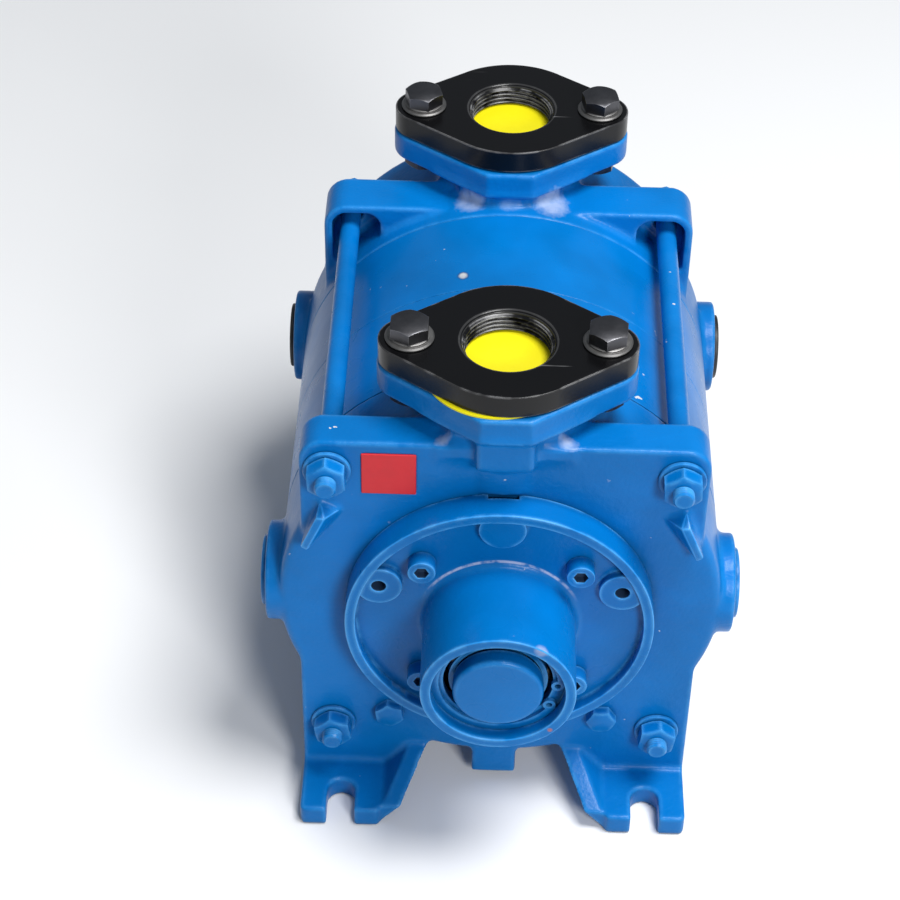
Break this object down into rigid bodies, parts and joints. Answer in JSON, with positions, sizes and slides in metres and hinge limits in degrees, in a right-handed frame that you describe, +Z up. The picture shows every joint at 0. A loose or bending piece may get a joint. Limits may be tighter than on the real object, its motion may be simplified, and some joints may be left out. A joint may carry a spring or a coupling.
{
  "type": "liquid ring vacuum pump",
  "caption": "Liquid ring vacuum pump on slotted feet, with cast end casings, body rings clamped by tie rods, oval screwed port flanges on top and a keyed drive shaft.",
  "frame": {"origin": "on the base plane under the feet, below the shaft axis, half way between the casings' end faces (centre of the foot slots)", "axes": "+Y along the shaft towards the drive end, +Z up, +X to the right when seen from the front bearing housing towards the drive end"},
  "size_m": [0.229, 0.413, 0.2725],
  "materials": {
    "blue_paint": "satin",
    "black_paint": "satin",
    "dark_steel": "satin",
    "steel": "satin",
    "ball_steel": "polished",
    "plate_iron": "matte",
    "bronze": "satin",
    "rubber": "matte",
    "seat_ceramic": "satin",
    "seal_carbon": "matte",
    "yellow_plastic": "satin",
    "black_plastic": "satin",
    "red_pad": "satin"
  },
  "bodies": {
    "pump_body": {"front_casing": "blue_paint", "rear_casing": "blue_paint", "front_body_ring": "blue_paint", "rear_body_ring": "blue_paint", "front_bearing_housing": "blue_paint", "rear_bearing_housing": "blue_paint", "front_housing_screws": "blue_paint", "rear_housing_screws": "blue_paint", "tie_rods": "blue_paint", "tie_rod_washers": "blue_paint", "tie_rod_nuts": "blue_paint", "drain_plugs": "blue_paint", "front_companion_flange": "black_paint", "rear_companion_flange": "black_paint", "flange_bolts": "dark_steel", "flange_washers": "dark_steel", "flange_nuts": "dark_steel", "front_circlip": "dark_steel", "rear_circlip": "dark_steel", "front_outer_race": "steel", "rear_outer_race": "steel", "front_port_plate": "plate_iron", "mid_plate": "plate_iron", "rear_port_plate": "plate_iron", "body_o_rings": "rubber", "housing_o_rings": "rubber", "front_seal_seat": "seat_ceramic", "rear_seal_seat": "seat_ceramic", "front_port_disc": "yellow_plastic", "rear_port_disc": "yellow_plastic", "side_port_plugs": "black_plastic", "badge": "red_pad"},
    "rotor": {"shaft": "steel", "shaft_end_cap": "blue_paint", "drive_v_ring": "rubber", "front_impeller": "bronze", "rear_impeller": "bronze", "impeller_spacer": "steel", "impeller_circlips": "dark_steel", "impeller_keys": "steel", "front_inner_race": "steel", "rear_inner_race": "steel", "front_seal_head": "seal_carbon", "rear_seal_head": "seal_carbon", "front_seal_spring": "steel", "rear_seal_spring": "steel"},
    "front_cage": {"front_bearing_balls": "ball_steel", "front_ball_cage": "bronze"},
    "rear_cage": {"rear_bearing_balls": "ball_steel", "rear_ball_cage": "bronze"}
  },
  "joints": [
    {"name": "rotor_spin", "type": "hinge", "parent": "pump_body", "child": "rotor", "pos_m": [0, 0, 0.126], "axis": [0, 1, 0], "continuous": true},
    {"name": "front_cage_spin", "type": "hinge", "parent": "pump_body", "child": "front_cage", "pos_m": [0, -0.164, 0.126], "axis": [0, 1, 0], "continuous": true},
    {"name": "rear_cage_spin", "type": "hinge", "parent": "pump_body", "child": "rear_cage", "pos_m": [0, 0.164, 0.126], "axis": [0, 1, 0], "continuous": true}
  ],
  "couplings": [
    {"joint": "front_cage_spin", "follows": "rotor_spin", "ratio": 0.3713},
    {"joint": "rear_cage_spin", "follows": "rotor_spin", "ratio": 0.3713}
  ]
}
